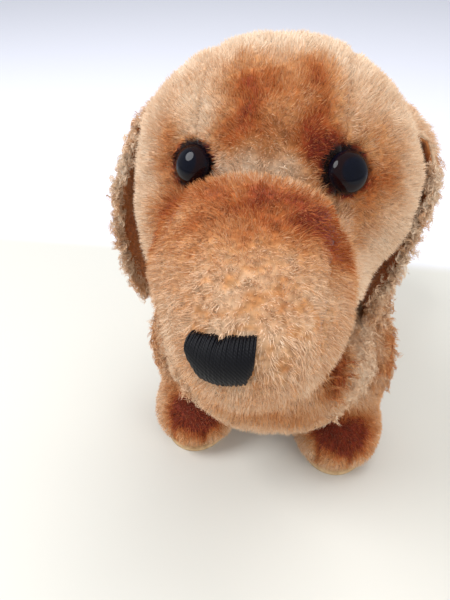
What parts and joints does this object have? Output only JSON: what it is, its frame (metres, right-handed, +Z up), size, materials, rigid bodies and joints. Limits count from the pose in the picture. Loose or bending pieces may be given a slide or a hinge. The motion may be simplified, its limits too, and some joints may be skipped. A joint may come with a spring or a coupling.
{
  "type": "plush dog",
  "caption": "Small standing plush spaniel in short golden-brown mohair with a turning head, hanging curly ears, glass eyes and a stitched black nose.",
  "frame": {"origin": "on the floor under the middle of the dog's overall box", "axes": "+Z up, the dog faces -Y, +X is the dog's left side"},
  "size_m": [0.0714, 0.1674, 0.1225],
  "materials": {
    "short_mohair": "short dense mohair pile, golden tan with brown airbrushing",
    "long_mohair": "longer curly mohair pile, golden tan",
    "ear_lining": "short brown-tan mohair pile",
    "felt": "flat wool felt",
    "wood_wool_filling": "firm wood-wool filling",
    "black_thread": "black satin stitch with a slight sheen",
    "amber_glass": "glossy dark amber glass",
    "black_paint": "black enamel disc",
    "steel_wire": "plain steel wire",
    "fibreboard": "pressed brown fibreboard"
  },
  "bodies": {
    "torso": {"chest_panel": "short_mohair", "belly_gusset": "short_mohair", "body_side_left_panel": "long_mohair", "body_side_right_panel": "long_mohair", "torso_filling": "wood_wool_filling", "neck_disc_body": "fibreboard", "neck_washer_body": "steel_wire", "neck_cotter_pin": "steel_wire", "tail_cover": "long_mohair", "tail_filling": "wood_wool_filling", "front_leg_left_cover": "short_mohair", "front_leg_left_filling": "wood_wool_filling", "front_leg_left_pad": "felt", "front_leg_right_cover": "short_mohair", "front_leg_right_filling": "wood_wool_filling", "front_leg_right_pad": "felt", "hind_leg_left_cover": "short_mohair", "hind_leg_left_filling": "wood_wool_filling", "hind_leg_left_pad": "felt", "hind_leg_right_cover": "short_mohair", "hind_leg_right_filling": "wood_wool_filling", "hind_leg_right_pad": "felt"},
    "head": {"head_crown_gusset": "short_mohair", "head_side_left_panel": "short_mohair", "head_side_right_panel": "short_mohair", "muzzle_panel": "short_mohair", "chin_panel": "short_mohair", "head_filling": "wood_wool_filling", "nose_stitching": "black_thread", "neck_disc_head": "fibreboard", "neck_washer_head": "steel_wire", "eye_left_glass": "amber_glass", "eye_left_pupil": "black_paint", "eye_left_shank": "steel_wire", "eye_right_glass": "amber_glass", "eye_right_pupil": "black_paint", "eye_right_shank": "steel_wire"},
    "left_ear": {"ear_left_outer": "long_mohair", "ear_left_lining": "ear_lining"},
    "right_ear": {"ear_right_outer": "long_mohair", "ear_right_lining": "ear_lining"}
  },
  "joints": [
    {"name": "neck_turn", "type": "hinge", "parent": "torso", "child": "head", "pos_m": [0, -0.02, 0.068], "axis": [0, 0, 1], "continuous": true},
    {"name": "left_ear_flap", "type": "hinge", "parent": "head", "child": "left_ear", "pos_m": [0.0262, -0.018, 0.1095], "axis": [0, -1, 0], "range_deg": [0, 75]},
    {"name": "right_ear_flap", "type": "hinge", "parent": "head", "child": "right_ear", "pos_m": [-0.0262, -0.018, 0.1095], "axis": [0, 1, 0], "range_deg": [0, 75]}
  ]
}
